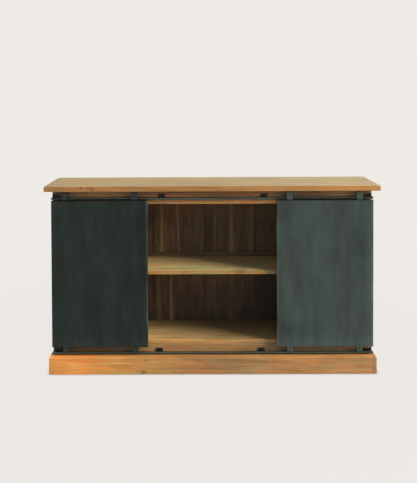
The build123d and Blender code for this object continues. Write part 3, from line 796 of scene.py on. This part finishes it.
# Patches in the wax: place across and up, half width and half height, all as shares of the door, and
# how much lighter or darker each one is. The upright edges are made lighter, partly wear and partly a
# painted highlight, and the left door's inner edge much more so: a painted highlight of its side face,
# which the light from the right falls on.
door_patches = {
    "left": [(0.95, 0.64, 0.06, 0.22, -0.25), (0.10, 0.97, 0.20, 0.06, 0.15)],
    "right": [(0.86, 0.70, 0.12, 0.14, -0.25), (0.15, 0.12, 0.22, 0.06, -0.20),
              (1.0, 0.40, 0.06, 0.60, 0.35), (0.10, 0.90, 0.10, 0.10, -0.15)],
}
fold, sheet, rub_width = 0.003, 0.0015, 0.0022
lit_edge_width, lit_edge_gain = 0.041, 3.5
for side, seed in (("left", 91), ("right", 92)):
    low, high = (np.array(corner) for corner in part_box(f"{side}_door_skin"))
    points, faces = folded_sheet(low, high, fold, sheet, np.random.default_rng(seed))
    # Lighter upright edges: wear and painted highlight, strongest on the left door's inner edge.
    rim = np.minimum(points[:, 0] - low[0], high[0] - points[:, 0])
    rubbed = np.exp(-(rim / rub_width) ** 2) * (1 + ripple(points, 0.08, np.random.default_rng(seed)))
    if side == "left":
        rubbed *= np.where(points[:, 0] > high[0] - lit_edge_width, lit_edge_gain, 1.0)
    across = (points[:, 0] - low[0]) / (high[0] - low[0])
    up = (points[:, 2] - low[2]) / (high[2] - low[2])
    # The sheet is also lighter towards its bottom edge, and lighter or darker in the patches.
    wax = 1 + 0.2 * np.exp(-(up / 0.07) ** 2)
    for u, v, half_u, half_v, gain in door_patches[side]:
        wax = wax + gain * np.exp(-((across - u) / half_u) ** 2 - ((up - v) / half_v) ** 2)
    piece = make_piece(f"{side}_door_sheet", points, faces, sheet_steel, smooth=50.0,
                       fields={"shade": painted_door_light[side] * wax * (1 + 1.2 * rubbed)})
    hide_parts(f"{side}_door_skin")
    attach(piece, f"{side}_door")


# Door cores: plain sawn boards inside the sheets, with the grain standing.
# The sheet is folded over their edges, and the screws of the straps go into them.
for side, seed in (("left", 95), ("right", 96)):
    worn_board(f"{side}_door_core", "Z", honey_wood, seed, body=f"{side}_door")


# Straps: two flat bars on the back of each door that run past it to the rollers at both ends.
# Three screws hold each one to the board in the door.
strap_corner, strap_ease, strap_gain = 0.0025, 0.0006, 1.4
strap_screw_inset, strap_screw_length = 0.060, 0.012
for side in ("left", "right"):
    body, shapes = f"{side}_door", []
    for place in ("outer", "inner"):
        node = f"{side}_strap_{place}"
        low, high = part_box(node)
        corners = [(low.x, low.z), (high.x, low.z), (high.x, high.z), (low.x, high.z)]
        points, faces = cut_plate(softened(corners, strap_corner, 7), 1, low.y, high.y, strap_ease)
        # The strap takes its door's painted light, made 1.4 times lighter still.
        piece = make_piece(f"{node}_bar", points, faces, sheet_steel,
                           fields={"shade": np.full(len(points), strap_gain * painted_door_light[side])})
        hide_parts(node)
        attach(piece, body)
        door_low, door_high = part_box(f"{side}_door_skin")
        heights = (door_low.z + strap_screw_inset, (door_low.z + door_high.z) / 2,
                   door_high.z - strap_screw_inset)
        shapes += [wood_screw((low.x + high.x) / 2, high.y, z, 1, strap_screw_length) for z in heights]
    points, faces = joined(shapes)
    piece = make_piece(f"{side}_strap_screws_cross", points, faces, black_screw_steel)
    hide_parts(f"{side}_strap_screws")
    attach(piece, body)


# Axle bolts: round-headed bolts of blued steel through the strap ends, one for each roller.
# A low hexagon nut on the end of each keeps its roller on.
def low_nut(x, z, front, back, radius, bore):
    """A hexagon nut about Y: rings of the bore, a round chamfer and the six-sided rim, front and back."""
    count, chamfer = 48, 0.0004
    turn = np.linspace(0.0, 2 * np.pi, count, endpoint=False)
    flat = radius * math.cos(math.pi / 6)
    sided = flat / np.cos((turn + np.pi / 6) % (np.pi / 3) - np.pi / 6)
    hole, round_rim = np.full(count, bore), np.full(count, 0.98 * flat)
    places = np.array([front, front, front + chamfer, back - chamfer, back, back])
    reach = np.stack([hole, round_rim, sided, sided, round_rim, hole])
    along = np.repeat(places[:, None], count, axis=1)
    rings = np.stack([x + reach * np.cos(turn), along, z + reach * np.sin(turn)], axis=-1)
    here, beside = np.arange(count), (np.arange(count) + 1) % count
    start = (len(places) - 1) * count
    last = np.stack([start + here, start + beside, beside, here], axis=-1)
    return rings.reshape(-1, 3), [ring_faces(len(places), count), last]


blued_steel = dark_steel("blued_steel", (0.100, 0.112, 0.106), 0.42, 0.2, (120.0, 120.0, 120.0))
head, head_height, crown, shank, tip, nut_radius = 0.005, 0.004, 0.0028, 0.003, 0.0004, 0.0055
rise = np.linspace(0.0, np.pi / 2, 8)
dome = np.stack([head * np.sin(rise), crown * (1 - np.cos(rise))], axis=1)
for side in ("left", "right"):
    low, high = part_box(f"{side}_axle_bolts")
    nut_low, nut_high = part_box(f"{side}_axle_nuts")
    length = high.y - low.y
    axles = [(x, z) for x in (low.x + head, high.x - head) for z in (low.z + head, high.z - head)]
    profile = np.concatenate([dome, [[head, head_height], [shank, head_height], [shank, length - tip],
                                     [shank - tip, length], [0.0, length]]])
    bolts = [turned(profile, (x, low.y, z), 1, 28) for x, z in axles]
    nuts = [low_nut(x, z, nut_low.y, nut_high.y, nut_radius, shank) for x, z in axles]
    for node, shapes in ((f"{side}_axle_bolts", bolts), (f"{side}_axle_nuts", nuts)):
        points, faces = joined(shapes)
        piece = make_piece(f"{node}_steel", points, faces, blued_steel)
        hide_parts(node)
        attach(piece, f"{side}_door")


# Rollers: turned steel wheels with a round groove that sits over the rail, and a short hub in front.
# Each turns on its axle bolt as its door slides, between the strap and the nut.
turned_steel = dark_steel("turned_steel", (0.065, 0.072, 0.070), 0.40, 0.15, (160.0, 20.0, 160.0))
flange, bore, hub, width = 0.015, 0.00305, 0.006, 0.013
groove_reach, groove = 0.0183, 0.0063
for side in ("left", "right"):
    for place in ("outer", "inner"):
        for end in ("top", "bottom"):
            node = f"{side}_roller_{place}_{end}"
            low, high = (np.array(corner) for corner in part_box(node))
            back = high[1] - low[1]
            groove_middle = back - width / 2
            rim = softened([
                (flange, back - width), (hub, back - width), (hub, 0.0),
                (bore, 0.0), (bore, back), (flange, back),
            ], 0.0004, 3)
            sweep = np.linspace(1.0, -1.0, 15) * math.acos((groove_reach - flange) / groove)
            dip = np.stack([groove_reach - groove * np.cos(sweep),
                            groove_middle + groove * np.sin(sweep)], axis=1)
            centre = (low + high) / 2
            centre[1] = low[1]
            points, faces = turned(np.concatenate([rim, dip]), centre, 1, 48, hollow=True)
            piece = make_piece(f"{node}_wheel", points, faces, turned_steel)
            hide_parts(node)
            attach(piece, node)


# Stage: a pale floor that runs out to a background of the same tone and keeps the object's shadow,
# darkest where the base touches it. Steel mirrors the same pale background.
backdrop = (0.855, 0.831, 0.791, 1.0)
reach = 60.0
floor_mesh = bpy.data.meshes.new("studio_floor")
floor_mesh.from_pydata([(-reach, -reach, 0), (reach, -reach, 0), (reach, reach, 0), (-reach, reach, 0)],
                       [], [(0, 1, 2, 3)])
studio_floor = bpy.data.objects.new("studio_floor", floor_mesh)
bpy.context.scene.collection.objects.link(studio_floor)


def seen_ray(tree):
    """One for camera, glossy and transmission rays, nought for the rays that carry light."""
    ray = put(tree, "ShaderNodeLightPath").outputs
    return sums(tree, "MAXIMUM", sums(tree, "MAXIMUM", ray["Is Camera Ray"], ray["Is Transmission Ray"]),
                ray["Is Glossy Ray"])


pale_floor = bpy.data.materials.new("pale_floor")
pale_floor.use_nodes = True
tree = pale_floor.node_tree
tree.nodes.remove(tree.nodes["Principled BSDF"])
nearby = put(tree, "ShaderNodeAmbientOcclusion", {"Distance": 0.035}, samples=8).outputs["AO"]
nearby = put(tree, "ShaderNodeMapRange", {0: nearby, 1: 0.45, 2: 0.85, 3: 0.65, 4: 1.0}, clamp=True)
matt = put(tree, "ShaderNodeBsdfDiffuse", {"Color": (0.16, 0.156, 0.152, 1.0)})
far = vectors(tree, "LENGTH", put(tree, "ShaderNodeTexCoord").outputs["Object"])
far = put(tree, "ShaderNodeMapRange", {0: far, 1: 1.2, 2: 4.0, 3: 0.08, 4: 0.0}, clamp=True).outputs[0]
glow = put(tree, "ShaderNodeEmission", {"Color": mixed(tree, 1.0, backdrop, nearby.outputs[0], "MULTIPLY"),
                                        "Strength": sums(tree, "MULTIPLY_ADD", far, 0.5, 1.0)})
seen = sums(tree, "MULTIPLY", seen_ray(tree), sums(tree, "SUBTRACT", 1.0, far))
both = put(tree, "ShaderNodeMixShader", {0: seen, 1: matt.outputs[0], 2: glow.outputs[0]})
tree.links.new(both.outputs[0], tree.nodes["Material Output"].inputs["Surface"])
floor_mesh.materials.append(pale_floor)


# Sky: the soft cool light of a white room, stronger from the right, from above and from behind.
# Camera and mirror rays see the plain background instead of it.
world = bpy.data.worlds.new("studio")
bpy.context.scene.world = world
world.use_nodes = True
tree = world.node_tree
way = put(tree, "ShaderNodeSeparateXYZ", {0: put(tree, "ShaderNodeTexCoord").outputs["Generated"]}).outputs
rise = put(tree, "ShaderNodeMapRange", {0: way[2], 1: 0.0, 2: 0.9}, clamp=True).outputs[0]
sky = mixed(tree, rise, (0.325, 0.425, 0.54, 1.0), (0.40, 0.49, 0.56, 1.0))
facing = sums(tree, "MAXIMUM", sums(tree, "MULTIPLY", way[1], -0.4), sums(tree, "MULTIPLY", way[1], 1.2))
aside = sums(tree, "ADD", sums(tree, "MULTIPLY_ADD", way[0], 0.5, 1.0), facing)
sky = mixed(tree, 1.0, sky, aside, "MULTIPLY")
tree.links.new(mixed(tree, seen_ray(tree), sky, backdrop), tree.nodes["Background"].inputs["Color"])


# Window light: one large soft source on the right in front, which throws the right door's shadow into
# the bay. A quarter of it shows in polished faces; the rest lights without a reflection, so that the
# oiled top doesn't glare when it is seen from behind.
def soft_lamp(name, place, target, wide, high, watts, colour, mirrored):
    """An area lamp at a place, turned to face a target, which polished faces mirror or not."""
    data = bpy.data.lights.new(name, "AREA")
    data.shape = "RECTANGLE"
    data.size, data.size_y = wide, high
    data.energy, data.color = watts, colour
    lamp = bpy.data.objects.new(name, data)
    bpy.context.scene.collection.objects.link(lamp)
    away = np.array(place, float) - np.array(target, float)
    away /= np.linalg.norm(away)
    right = np.cross((0.0, 0.0, 1.0), away)
    right /= np.linalg.norm(right)
    turn = np.eye(4)
    turn[:3, 0], turn[:3, 1], turn[:3, 2], turn[:3, 3] = right, np.cross(away, right), away, place
    lamp.matrix_world = Matrix(turn.tolist())
    lamp.visible_glossy = mirrored


window = (10.7, -5.2, 6.9), (0.0, -0.1, 0.5), 7.4, 9.2
soft_lamp("window", *window, 3150.0, (1.0, 0.96, 0.90), mirrored=False)
soft_lamp("window_sheen", *window, 1000.0, (1.0, 0.96, 0.90), mirrored=True)


# Camera: square on to the front, a little above the top, with the lens raised so that uprights stay
# upright. Its place, turn and shift are a fit to the corners and edges in the photograph.
data = bpy.data.cameras.new("camera")
camera = bpy.data.objects.new("camera", data)
bpy.context.scene.collection.objects.link(camera)
bpy.context.scene.camera = camera
yaw, pitch, roll = -0.00417, 0.02796, -0.00427
ahead = np.array([math.sin(yaw) * math.cos(pitch), math.cos(yaw) * math.cos(pitch), -math.sin(pitch)])
level = np.array([math.cos(yaw), -math.sin(yaw), 0.0])
upright = np.cross(level, ahead)
turn = np.eye(4)
turn[:3, 0] = level * math.cos(roll) + upright * math.sin(roll)
turn[:3, 1] = upright * math.cos(roll) - level * math.sin(roll)
turn[:3, 2] = -ahead
turn[:3, 3] = (-0.0604, -4.4085, 1.3491)
camera.matrix_world = Matrix(turn.tolist())
data.sensor_width = 36.0
data.lens = 65.905
data.shift_x, data.shift_y = 0.0271, -0.2592

bpy.context.scene.view_settings.view_transform = "Standard"
